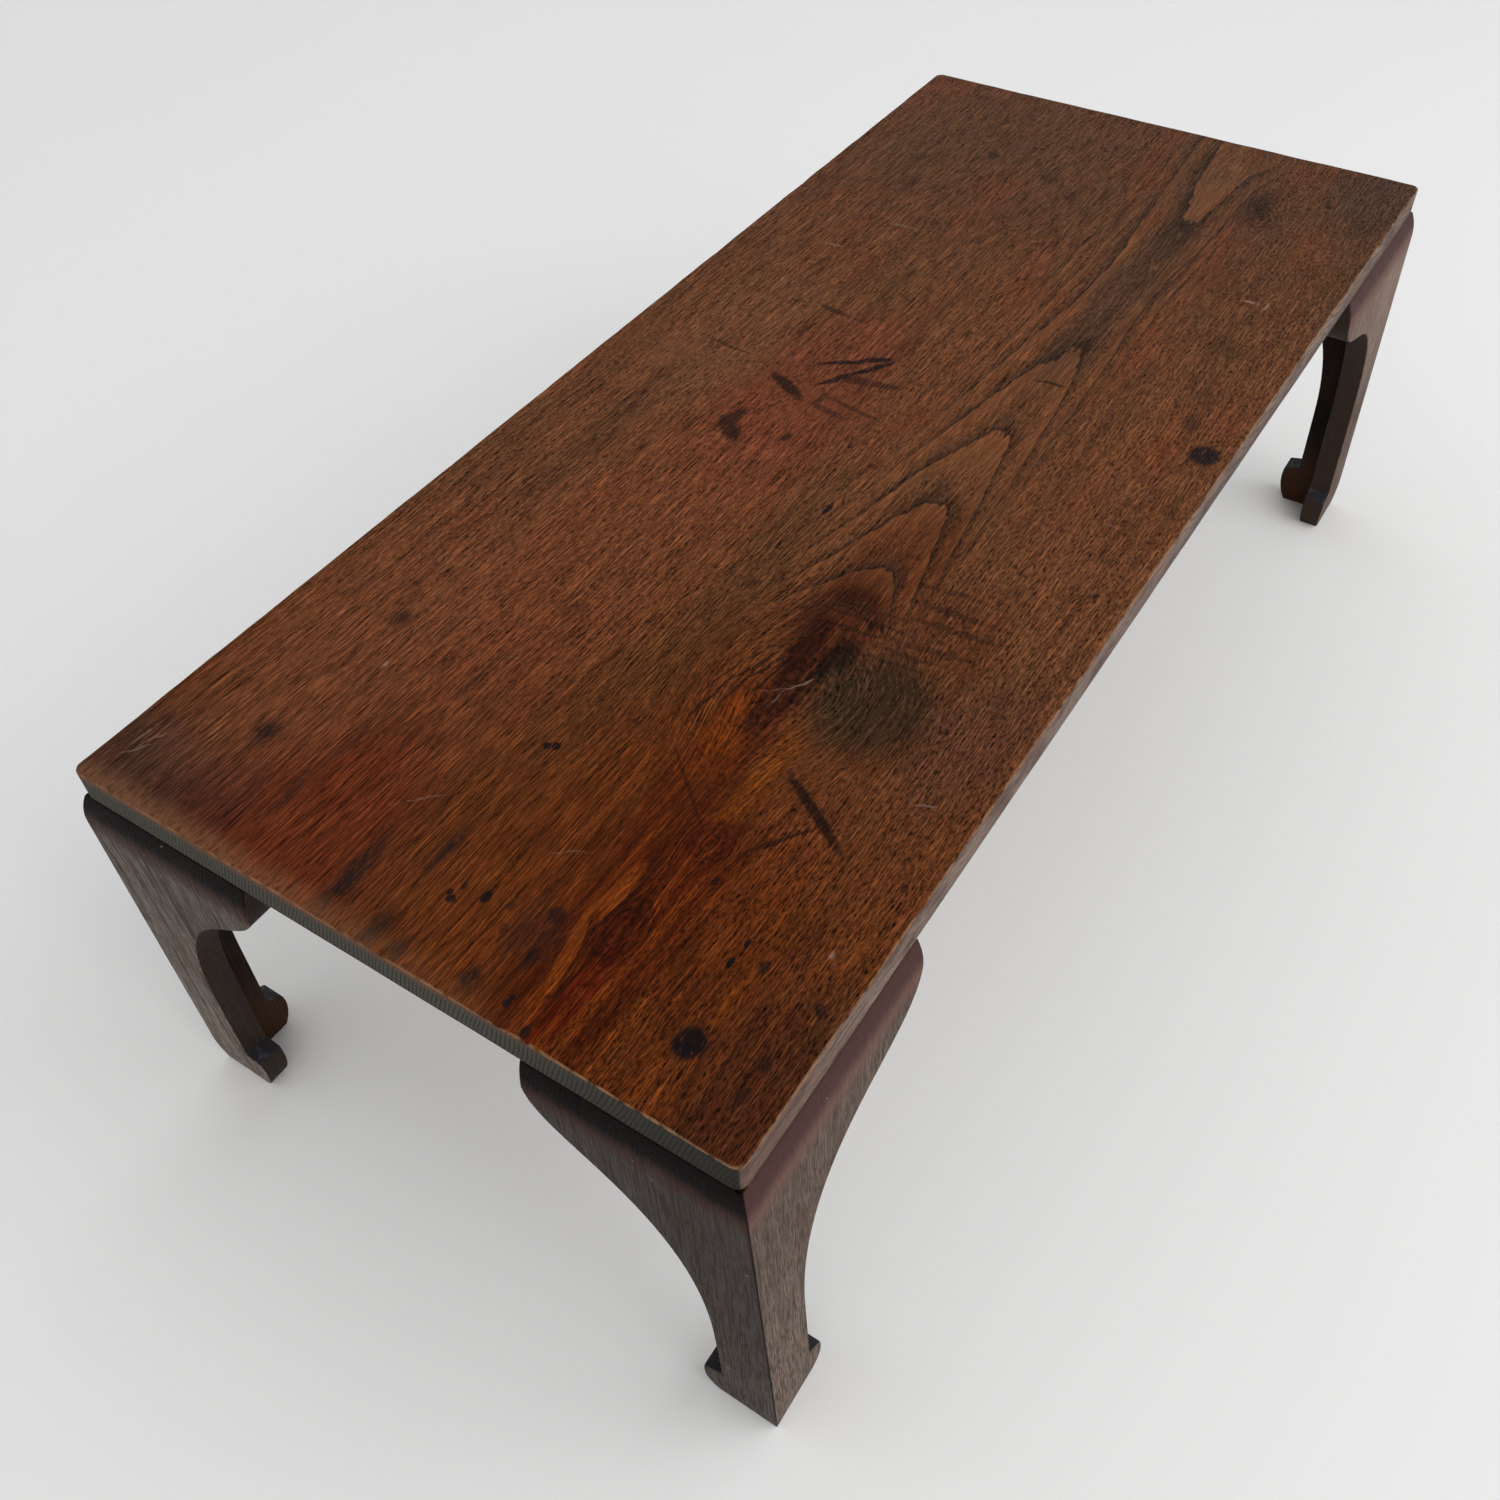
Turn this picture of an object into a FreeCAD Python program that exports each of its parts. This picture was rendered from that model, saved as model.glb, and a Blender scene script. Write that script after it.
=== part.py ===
import FreeCAD, Part
import math
import os

# Low floor table, in millimetres. The origin is on the floor under the middle of the table.
# +X runs along the table, +Y across it to the back, +Z up. Left is -X and front is -Y.

# Overall sizes
TOP_LENGTH = 910.0
TOP_WIDTH = 400.0
TOP_THICKNESS = 20.0
TABLE_HEIGHT = 290.0

# Top board: rounding in plan, and the worn arrises above and below
TOP_CORNER_RADIUS = 6.0
TOP_ARRIS = 1.5
UNDER_ARRIS = 1.0

# Leg boards, which stand proud of the top's edge under a rounded shoulder.
# The legs splay across the table: each foot stands further out than the top of its leg.
LEG_THICKNESS = 17.0
LEG_PROUD = 4.0
LEG_SPLAY = 9.5
SHOULDER_HEIGHT = 20.0
SHOULDER_INSET = 4.0
FOOT_SWEEP = 2.0
FOOT_SWEEP_HEIGHT = 28.0

# Outline of the two arms of a leg, measured from the leg's outer corner
END_ARM = {
    "post_width": 33.0,
    "bracket_length": 119.5,
    "bracket_end": 13.0,
    "bracket_drop": 178.0,
    "lobe_pull": 49.0,
    "cove_pull": 140.0,
    "hook_reach": 12.0,
    "hook_slope": 3.0,
}
SIDE_ARM = {
    "post_width": 35.0,
    "bracket_length": 150.0,
    "bracket_end": 7.0,
    "bracket_drop": 168.0,
    "lobe_pull": 69.0,
    "cove_pull": 157.0,
    "hook_reach": 10.0,
    "hook_slope": 7.0,
}

# Inward hook at the foot of each arm
HOOK_HEIGHT = 34.0
HOOK_BULGE = 3.0
SOLE_SET_BACK = 4.5

# Stub tenon on each leg board, and how loosely wood fits in wood
TENON_START = 28.0
TENON_LENGTH = 55.0
TENON_THICKNESS = 6.0
TENON_HEIGHT = 12.0
TENON_INSET = 1.0
JOINT_CLEARANCE = 0.1
BOTTOM_CLEARANCE = 0.4

# Spline in the mitre
SPLINE_THICKNESS = 3.0
SPLINE_WIDTH = 13.0
SPLINE_DEPTH = 14.5
SPLINE_FOOT_MARGIN = 12.0
SPLINE_SHOULDER_MARGIN = 10.0

# Corner block and its two pegs
BLOCK_REACH = 36.0
BLOCK_HEIGHT = 52.0
PEG_DIAMETER = 6.0
PEG_DEPTH = 9.0
PEG_OFFSET = 11.0
END_PEG_DROP = 16.0
SIDE_PEG_DROP = 34.0

# Battens across the underside
BATTEN_SPACING = 430.0
BATTEN_WIDTH = 38.0
BATTEN_RIB = 12.0
BATTEN_TONGUE = 8.0
BATTEN_NECK = 22.0
BATTEN_FLARE = 3.0
BATTEN_CHAMFER = 4.0
BATTEN_FRONT_STOP = 50.0
BATTEN_RIB_MARGIN = 34.0

# Sizes that follow from those above
LEG_TOP = TABLE_HEIGHT - TOP_THICKNESS
CORNER_X = -TOP_LENGTH / 2 - LEG_PROUD
CORNER_Y = -TOP_WIDTH / 2 - LEG_PROUD

# What a unit step along the mitre gives to X and to Y
DIAGONAL = math.sqrt(0.5)

# Heights this close are the same height
TOLERANCE = 1e-6

# Directions, with one that drops a unit along the splayed leg
ORIGIN = FreeCAD.Vector(0, 0, 0)
X_AXIS = FreeCAD.Vector(1, 0, 0)
Y_AXIS = FreeCAD.Vector(0, 1, 0)
UP = FreeCAD.Vector(0, 0, 1)
DOWN_LEG = FreeCAD.Vector(0, -LEG_SPLAY / LEG_TOP, -1)


def vector(x, y, z):
    return FreeCAD.Vector(x, y, z)


def line(start, end):
    return Part.LineSegment(start, end).toShape()


def prism(edges, sweep):
    """A solid made by sweeping a closed outline along a straight line."""
    return Part.Face(Part.Wire(Part.__sortEdges__(edges))).extrude(sweep)


def polygon_prism(points, sweep):
    return Part.Face(Part.makePolygon(points + points[:1])).extrude(sweep)


def splay(height):
    """How far out from the top of the leg the leg stands at a height."""
    return LEG_SPLAY * (LEG_TOP - height) / LEG_TOP


def on_side_board(along, depth, height):
    """A point of the leg's side board: along it from the corner, into it from its outer face, and up."""
    return vector(along, depth - splay(height), height)


def on_end_board(along, depth, height):
    return vector(depth, along - splay(height), height)


def arm_outline(arm, place):
    """The outer face of one leg board, from the leg's outer corner and the floor."""
    post = arm["post_width"]
    reach = arm["bracket_length"]
    tip = post + arm["hook_reach"]
    bracket_foot = LEG_TOP - arm["bracket_drop"]
    bracket_tip = LEG_TOP - arm["bracket_end"]

    corner_low = place(0, 0, 0)
    sole_end = place(tip - SOLE_SET_BACK, 0, 0)
    hook_tip = place(tip, 0, HOOK_HEIGHT - arm["hook_slope"])
    hook_middle = place(tip - SOLE_SET_BACK / 2 + HOOK_BULGE, 0, (HOOK_HEIGHT - arm["hook_slope"]) / 2)
    hook_notch = place(post, 0, HOOK_HEIGHT)
    cove_low = place(post, 0, bracket_foot)
    cove_pole = place(post, 0, bracket_foot + arm["cove_pull"])
    lobe_pole = place(reach, 0, bracket_tip - arm["lobe_pull"])
    lobe_end = place(reach, 0, bracket_tip)
    bracket_top = place(reach, 0, LEG_TOP)
    corner_high = place(0, 0, LEG_TOP)

    cove = Part.BezierCurve()
    cove.setPoles([cove_low, cove_pole, lobe_pole, lobe_end])
    return [
        line(corner_low, sole_end),
        Part.Arc(sole_end, hook_middle, hook_tip).toShape(),
        line(hook_tip, hook_notch),
        line(hook_notch, cove_low),
        cove.toShape(),
        line(lobe_end, bracket_top),
        line(bracket_top, corner_high),
        line(corner_high, corner_low),
    ]


def rounding(place, flush_height, inset_height, inset):
    """An arc in the board's section that leaves the outer face at one height and is inset at another."""
    rise = inset_height - flush_height
    radius = (rise ** 2 + inset ** 2) / (2 * inset)
    half_turn = math.atan2(inset, abs(rise))
    middle_depth = radius * (1 - math.cos(half_turn))
    middle_height = flush_height + math.copysign(radius * math.sin(half_turn), rise)
    return Part.Arc(
        place(0, 0, flush_height),
        place(0, middle_depth, middle_height),
        place(0, inset, inset_height),
    ).toShape()


def board_section(place):
    """The section of a leg board, square to its length."""
    shoulder_low = LEG_TOP - SHOULDER_HEIGHT
    sole_outer = place(0, FOOT_SWEEP, 0)
    inner_high = place(0, LEG_THICKNESS, LEG_TOP)
    inner_low = place(0, LEG_THICKNESS, 0)
    return [
        rounding(place, FOOT_SWEEP_HEIGHT, 0, FOOT_SWEEP),
        line(place(0, 0, FOOT_SWEEP_HEIGHT), place(0, 0, shoulder_low)),
        rounding(place, shoulder_low, LEG_TOP, SHOULDER_INSET),
        line(place(0, SHOULDER_INSET, LEG_TOP), inner_high),
        line(inner_high, inner_low),
        line(inner_low, sole_outer),
    ]


def tenon(place, grow, extra_height):
    """A stub tenon above a leg board's top edge, or its mortise when it is grown by a clearance."""
    inner = LEG_THICKNESS - TENON_INSET + grow
    outer = inner - TENON_THICKNESS - 2 * grow
    start = TENON_START - grow
    end = start + TENON_LENGTH + 2 * grow
    return polygon_prism([
        place(start, outer, LEG_TOP),
        place(end, outer, LEG_TOP),
        place(end, inner, LEG_TOP),
        place(start, inner, LEG_TOP),
    ], UP * (TENON_HEIGHT + extra_height))


def spline(grow, extra_width):
    """The spline across the mitre, or its groove when it is grown by a clearance."""
    low = HOOK_HEIGHT + SPLINE_FOOT_MARGIN - grow
    high = LEG_TOP - SHOULDER_HEIGHT - SPLINE_SHOULDER_MARGIN + grow
    width = SPLINE_WIDTH + 2 * extra_width
    thickness = SPLINE_THICKNESS + 2 * grow
    near = SPLINE_DEPTH - thickness / 2
    far = SPLINE_DEPTH + thickness / 2
    half = width / 2
    outline = []
    for depth, across in ((near, -half), (far, -half), (far, half), (near, half)):
        x = (depth - across) * DIAGONAL
        y = (depth + across) * DIAGONAL
        outline.append(vector(x, y - splay(high), high))
    return polygon_prism(outline, DOWN_LEG * (high - low))


def corner_block():
    """The block in the inner corner of a leg, a right-angled triangle in plan."""
    inner = LEG_THICKNESS
    return polygon_prism([
        vector(inner, inner, LEG_TOP),
        vector(inner + BLOCK_REACH, inner, LEG_TOP),
        vector(inner, inner + BLOCK_REACH, LEG_TOP),
    ], DOWN_LEG * BLOCK_HEIGHT)


def pegs(grow):
    """One peg through the block into each board, cut flush with the block's slanted face."""
    room = 2 * LEG_THICKNESS + BLOCK_REACH
    flush = polygon_prism([
        vector(0, 0, LEG_TOP),
        vector(room, 0, LEG_TOP),
        vector(0, room, LEG_TOP),
    ], DOWN_LEG * BLOCK_HEIGHT)
    radius = PEG_DIAMETER / 2 + grow
    start = LEG_THICKNESS - PEG_DEPTH - grow
    across = LEG_THICKNESS + PEG_OFFSET
    length = PEG_DEPTH + BLOCK_REACH + grow
    end_height = LEG_TOP - END_PEG_DROP
    side_height = LEG_TOP - SIDE_PEG_DROP
    into_end = Part.makeCylinder(radius, length, on_end_board(across, start, end_height), X_AXIS)
    into_side = Part.makeCylinder(radius, length, on_side_board(across, start, side_height), Y_AXIS)
    return [into_end.common(flush), into_side.common(flush)]


def leg_board(arm, place, along, inward):
    """One mitred leg board with its tenon; along and inward are its own two directions."""
    reach = arm["bracket_length"]
    face = prism(arm_outline(arm, place), inward * LEG_THICKNESS)
    section = prism(board_section(place), along * reach)
    mitre = polygon_prism([
        place(0, 0, LEG_TOP),
        place(reach, 0, LEG_TOP),
        place(reach, LEG_THICKNESS, LEG_TOP),
        place(LEG_THICKNESS, LEG_THICKNESS, LEG_TOP),
    ], DOWN_LEG * LEG_TOP)
    board = face.common(section).common(mitre)
    return board.fuse(tenon(place, 0, 0)).removeSplitter()


def at_corner(shape):
    """Moves a piece made at the origin to the leg at the front left corner."""
    moved = shape.copy()
    moved.translate(vector(CORNER_X, CORNER_Y, 0))
    return moved


def cut_each(shape, tools):
    for tool in tools:
        shape = shape.cut(tool)
    return shape


def front_left_leg():
    """The pieces of one leg, named without the leg's place."""
    groove = spline(JOINT_CLEARANCE, BOTTOM_CLEARANCE)
    holes = pegs(JOINT_CLEARANCE)
    side_board = cut_each(leg_board(SIDE_ARM, on_side_board, X_AXIS, Y_AXIS), [groove] + holes)
    end_board = cut_each(leg_board(END_ARM, on_end_board, Y_AXIS, X_AXIS), [groove] + holes)
    block = cut_each(corner_block(), holes)
    pieces = {
        "leg_end_board": end_board,
        "leg_side_board": side_board,
        "leg_spline": spline(0, 0),
        "corner_block": block,
    }
    return {name: at_corner(shape) for name, shape in pieces.items()}


def all_corners(shape):
    """A piece of the front left leg and its mirror images at the other three corners."""
    back = shape.mirror(ORIGIN, Y_AXIS)
    return {
        "front_left": shape,
        "front_right": shape.mirror(ORIGIN, X_AXIS),
        "back_left": back,
        "back_right": back.mirror(ORIGIN, X_AXIS),
    }


def batten_tongue(grow):
    """The dovetail tongue of the left batten, or its housing when it is grown by a clearance."""
    front = -TOP_WIDTH / 2 + BATTEN_FRONT_STOP - grow
    back = TOP_WIDTH / 2
    middle = -BATTEN_SPACING / 2
    neck = BATTEN_NECK / 2 + grow
    flare = neck + BATTEN_FLARE
    top = LEG_TOP + BATTEN_TONGUE + grow
    return polygon_prism([
        vector(middle - neck, front, LEG_TOP),
        vector(middle + neck, front, LEG_TOP),
        vector(middle + flare, front, top),
        vector(middle - flare, front, top),
    ], Y_AXIS * (back - front))


def left_batten():
    """A batten whose rib hangs under the top and whose tongue is slid in from the back edge."""
    middle = -BATTEN_SPACING / 2
    half = BATTEN_WIDTH / 2
    low = LEG_TOP - BATTEN_RIB
    rib_front = -TOP_WIDTH / 2 + BATTEN_RIB_MARGIN
    rib = polygon_prism([
        vector(middle - half, rib_front, LEG_TOP),
        vector(middle - half, rib_front, low + BATTEN_CHAMFER),
        vector(middle - half + BATTEN_CHAMFER, rib_front, low),
        vector(middle + half - BATTEN_CHAMFER, rib_front, low),
        vector(middle + half, rib_front, low + BATTEN_CHAMFER),
        vector(middle + half, rib_front, LEG_TOP),
    ], Y_AXIS * (TOP_WIDTH - 2 * BATTEN_RIB_MARGIN))
    return rib.fuse(batten_tongue(0)).removeSplitter()


def edges_at(shape, height):
    """The edges that lie wholly at one height."""
    return [e for e in shape.Edges if all(abs(v.Point.z - height) < TOLERANCE for v in e.Vertexes)]


def upright_edges(box):
    return [e for e in box.Edges if abs(e.Vertexes[0].Point.z - e.Vertexes[1].Point.z) > TOLERANCE]


def top_board():
    """The single plank, with its mortises and the two dovetail housings."""
    corner = vector(-TOP_LENGTH / 2, -TOP_WIDTH / 2, LEG_TOP)
    board = Part.makeBox(TOP_LENGTH, TOP_WIDTH, TOP_THICKNESS, corner)
    board = board.makeFillet(TOP_CORNER_RADIUS, upright_edges(board))
    board = board.makeFillet(TOP_ARRIS, edges_at(board, TABLE_HEIGHT))
    board = board.makeFillet(UNDER_ARRIS, edges_at(board, LEG_TOP))
    for place in (on_side_board, on_end_board):
        mortise = tenon(place, JOINT_CLEARANCE, BOTTOM_CLEARANCE)
        board = cut_each(board, all_corners(at_corner(mortise)).values())
    housing = batten_tongue(JOINT_CLEARANCE)
    return cut_each(board, [housing, housing.mirror(ORIGIN, X_AXIS)])


def build():
    """Every piece of the table by name."""
    nodes = {"top_board": top_board()}
    for name, shape in front_left_leg().items():
        for corner, copy in all_corners(shape).items():
            nodes[corner + "_" + name] = copy
    nodes["left_batten"] = left_batten()
    nodes["right_batten"] = nodes["left_batten"].mirror(ORIGIN, X_AXIS)
    peg_copies = []
    for peg in pegs(0):
        peg_copies += all_corners(at_corner(peg)).values()
    nodes["corner_block_pegs"] = Part.makeCompound(peg_copies)
    return nodes


os.makedirs("parts", exist_ok=True)
for node, shape in build().items():
    shape.exportStep("parts/" + node + ".step")
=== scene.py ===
"""Looks of a low floor table in old, worn, ring-porous wood.

The leg boards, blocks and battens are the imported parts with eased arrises. The top board is a new mesh
with an edge worn by hand. All wood is drawn by shader nodes in millimetres of the part's own frame: x along
the table, y across it to the back, z up.
"""

import math

import bmesh
import bpy
from mathutils import Matrix, Vector, noise


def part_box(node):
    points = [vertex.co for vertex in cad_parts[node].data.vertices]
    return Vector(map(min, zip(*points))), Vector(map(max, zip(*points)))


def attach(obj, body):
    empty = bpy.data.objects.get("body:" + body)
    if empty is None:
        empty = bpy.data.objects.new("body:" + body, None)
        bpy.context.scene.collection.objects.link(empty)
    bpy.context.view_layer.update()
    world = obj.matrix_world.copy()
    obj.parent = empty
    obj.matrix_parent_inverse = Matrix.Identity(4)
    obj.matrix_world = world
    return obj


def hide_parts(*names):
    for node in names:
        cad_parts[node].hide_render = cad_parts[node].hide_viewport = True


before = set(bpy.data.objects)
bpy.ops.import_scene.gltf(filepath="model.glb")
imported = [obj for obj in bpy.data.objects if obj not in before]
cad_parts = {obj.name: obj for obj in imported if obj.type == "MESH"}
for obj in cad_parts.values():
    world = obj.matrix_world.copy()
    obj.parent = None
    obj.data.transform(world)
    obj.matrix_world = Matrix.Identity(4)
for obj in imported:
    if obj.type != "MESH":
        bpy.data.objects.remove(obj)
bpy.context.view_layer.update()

MM = 0.001
TO_MM = 1000.0

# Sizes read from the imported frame, in millimetres
TOP_LOW, TOP_HIGH = (corner * TO_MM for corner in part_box("top_board"))
HALF_LENGTH = TOP_HIGH.x
HALF_WIDTH = TOP_HIGH.y
TABLE_HEIGHT = TOP_HIGH.z
TOP_UNDERSIDE = TOP_LOW.z
LEG_LOW, _ = (corner * TO_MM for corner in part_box("front_left_leg_end_board"))
LEG_CORNER_X = -LEG_LOW.x
LEG_PROUD = LEG_CORNER_X - HALF_LENGTH
LEG_TOP_Y = HALF_WIDTH + LEG_PROUD

# How much further out a foot stands than the top of its leg, in millimetres
LEG_SPLAY = 9.5

# The photograph's width and focal length in pixels, and its camera in millimetres
PHOTO_WIDTH = 1500
FOCAL_PIXELS = 1427.0
SENSOR_WIDTH = 36.0
CAMERA_PLACE = (-648.9, -351.9, 814.9)
CAMERA_LOOK = (0.54264, 0.384045, -0.747028)
CAMERA_UP = (0.637957, 0.390092, 0.663957)
NEAREST_SEEN = 10.0

# Sockets of the node that mixes colours: factor, colour below, colour above and result
MIX_FACTOR = 0
MIX_UNDER = 6
MIX_OVER = 7
MIX_RESULT = 2

# Radii of a stroke's ellipse as shares of the stroke's length and width
STROKE_LENGTH_SHARE = 0.55
STROKE_WIDTH_SHARE = 0.65


def srgb(red, green, blue):
    """A colour given as it shows on screen, 0 to 255, as linear light."""
    def linear(value):
        share = value / 255
        return share / 12.92 if share <= 0.04045 else ((share + 0.055) / 1.055) ** 2.4
    return (linear(red), linear(green), linear(blue), 1.0)


def widened(radii, factor):
    return (radii[0] * factor, radii[1] * factor)


class Field:
    """A value that varies over a surface: one output of a shader node, with arithmetic."""

    def __init__(self, shader, socket):
        self.shader = shader
        self.socket = socket

    def __add__(self, other):
        return self.shader.math("ADD", self, other)

    __radd__ = __add__

    def __sub__(self, other):
        return self.shader.math("SUBTRACT", self, other)

    def __rsub__(self, other):
        return self.shader.math("SUBTRACT", other, self)

    def __mul__(self, other):
        return self.shader.math("MULTIPLY", self, other)

    def __abs__(self):
        return self.shader.math("ABSOLUTE", self)


class Shader:
    """A material that is built up from fields."""

    def __init__(self, name):
        self.material = bpy.data.materials.new(name)
        self.material.use_nodes = True
        self.tree = self.material.node_tree
        self.tree.nodes.clear()

    def feed(self, socket, value):
        if isinstance(value, Field):
            self.tree.links.new(value.socket, socket)
        else:
            socket.default_value = value

    def node(self, kind, inputs, **settings):
        made = self.tree.nodes.new("ShaderNode" + kind)
        for key, value in settings.items():
            setattr(made, key, value)
        for key, value in inputs.items():
            self.feed(made.inputs[key], value)
        return made

    def value(self, kind, inputs, output=0, **settings):
        return Field(self, self.node(kind, inputs, **settings).outputs[output])

    def math(self, operation, first, second=0.0):
        return self.value("Math", {0: first, 1: second}, operation=operation)

    def larger(self, fields):
        """The largest of several fields at each point; fields made one by one keep the shader small."""
        largest = 0.0
        for field in fields:
            largest = self.math("MAXIMUM", largest, field)
        return largest

    def smooth(self, field, low, high, peak=1.0):
        """0 at low, a peak at high and an S between; low may be the larger of the two."""
        inputs = {"Value": field, "From Min": low, "From Max": high, "To Max": peak}
        return self.value("MapRange", inputs, interpolation_type="SMOOTHSTEP")

    def place(self):
        """A point of the surface in millimetres, as a vector and as x, y and z."""
        metres = self.value("TexCoord", {}, output="Object")
        scale = (TO_MM, TO_MM, TO_MM)
        whole = self.value("VectorMath", {0: metres, 1: scale}, operation="MULTIPLY")
        return (whole,) + self.parts(whole)

    def parts(self, vector):
        split = self.node("SeparateXYZ", {0: vector})
        return tuple(Field(self, output) for output in split.outputs)

    def join(self, x, y, z):
        return self.value("CombineXYZ", {0: x, 1: y, 2: z})

    def facing(self):
        """The surface's normal as x, y and z."""
        return self.parts(self.value("NewGeometry", {}, output="Normal"))

    def noise(self, place, sizes, detail=2.0, roughness=0.5):
        """Soft noise from 0 to 1 whose patches have these sizes in millimetres."""
        scale = tuple(1 / size for size in sizes)
        scaled = self.value("VectorMath", {0: place, 1: scale}, operation="MULTIPLY")
        inputs = {"Vector": scaled, "Scale": 1.0, "Detail": detail, "Roughness": roughness}
        return self.value("TexNoise", inputs)

    def patches(self, place, sizes, low, high, **settings):
        """Noise that is cut to patches: 0 where it is under low and 1 where it is over high."""
        return self.smooth(self.noise(place, sizes, **settings), low, high)

    def near(self, place, middle, radii, turn=0.0):
        """Falls from 1 at the middle of an ellipse to 0 at its edge, and is 0 outside it."""
        made = self.node("TexGradient", {"Vector": place}, gradient_type="SPHERICAL")
        made.texture_mapping.vector_type = "TEXTURE"
        made.texture_mapping.translation = (middle[0], middle[1], 0.0)
        made.texture_mapping.rotation = (0.0, 0.0, math.radians(turn))
        made.texture_mapping.scale = (radii[0], radii[1], 1.0)
        return Field(self, made.outputs["Fac"])

    def spot(self, place, middle, radii, strength=1.0, turn=0.0, soft=0.3):
        """Full strength inside an ellipse, 0 outside it, and soft at its edge."""
        reach = 1 + soft
        inside = self.near(place, middle, widened(radii, reach), turn)
        return self.smooth(inside, 0.0, 2 * soft / reach, strength)

    def hump(self, place, middle, radii):
        """A bell shape, 1 at its middle and 0.5 at its radii."""
        return self.smooth(self.near(place, middle, widened(radii, 2)), 0.0, 1.0)

    def stroke(self, place, start, end, width, strength=1.0, soft=0.5):
        """A straight stroke that thins towards its ends, from one point to another."""
        middle = (Vector(start) + Vector(end)) / 2
        run = Vector(end) - Vector(start)
        turn = math.degrees(math.atan2(run.y, run.x))
        radii = (run.length * STROKE_LENGTH_SHARE, width * STROKE_WIDTH_SHARE)
        return self.spot(place, middle, radii, strength, turn, soft)

    def distance(self, place, middle):
        centre = (middle[0], middle[1], 0.0)
        return self.value("VectorMath", {0: place, 1: centre}, output="Value", operation="DISTANCE")

    def paint(self, under, amount, over, blend="MIX"):
        """Lays one colour on another by an amount from 0 to 1."""
        inputs = {MIX_FACTOR: amount, MIX_UNDER: under, MIX_OVER: over}
        return self.value("Mix", inputs, output=MIX_RESULT, data_type="RGBA", blend_type=blend)

    def scale(self, colour, factor):
        """A colour made lighter or darker by a factor."""
        return self.value("VectorMath", {0: colour, "Scale": factor}, operation="SCALE")

    def curve(self, field, points, low, high):
        """A field read through a smooth curve of points whose values run from low to high."""
        start = points[0][0]
        span = points[-1][0] - start
        made = self.node("FloatCurve", {"Value": (field - start) * (1 / span)})
        shape = made.mapping.curves[0].points
        for index, (x, y) in enumerate(points):
            handle = ((x - start) / span, (y - low) / (high - low))
            if index == 0:
                shape[0].location = handle
            elif index == len(points) - 1:
                shape[-1].location = handle
            else:
                shape.new(*handle)
        made.mapping.update()
        return Field(self, made.outputs[0]) * (high - low) + low

    def finish(self, colour, roughness, height, depth, shine):
        """Joins a colour, a roughness and a relief of this depth in millimetres to the surface."""
        relief = self.value("Bump", {"Height": height, "Distance": depth * MM, "Strength": 1.0})
        inputs = {"Base Color": colour, "Roughness": roughness, "Normal": relief}
        surface = self.node("BsdfPrincipled", inputs)
        surface.inputs["Specular IOR Level"].default_value = shine
        output = self.node("OutputMaterial", {})
        self.tree.links.new(surface.outputs[0], output.inputs[0])
        return self.material


# Figure of the top board: the heart of the tree lies under one line, and the rings meet it in points
HEART_Y = -74.0
HEART_RINGS = [
    (-460, -2.2), (-427, -2.5), (-385, -2.9), (-345, -2.6), (-290, -2.9), (-250, -3.1),
    (-205, -2.4), (-160, -1.0), (-116, 0.0), (-54, 1.0), (26, 2.0), (137, 3.0),
    (225, 3.35), (313, 3.0), (400, 2.7), (460, 2.5),
]
FEWEST_RINGS = -4.0
MOST_RINGS = 4.0
RING_SPREAD_BACK = 1000.0
RING_SPREAD_FRONT = 430.0

# Knots: middle, radii of the swirl, rings they pull in, and how far they push the grain aside
KNOTS = [
    ((-222, -77), (44, 36), 1.0, 0.7),
    ((-386, -92), (18, 11), 1.8, 0.6),
    ((-326, -98), (13, 9), 1.4, 0.5),
    ((354, -117), (18, 11), 1.7, 0.5),
    ((448, -112), (36, 20), 1.6, 0.2),
]

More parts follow.
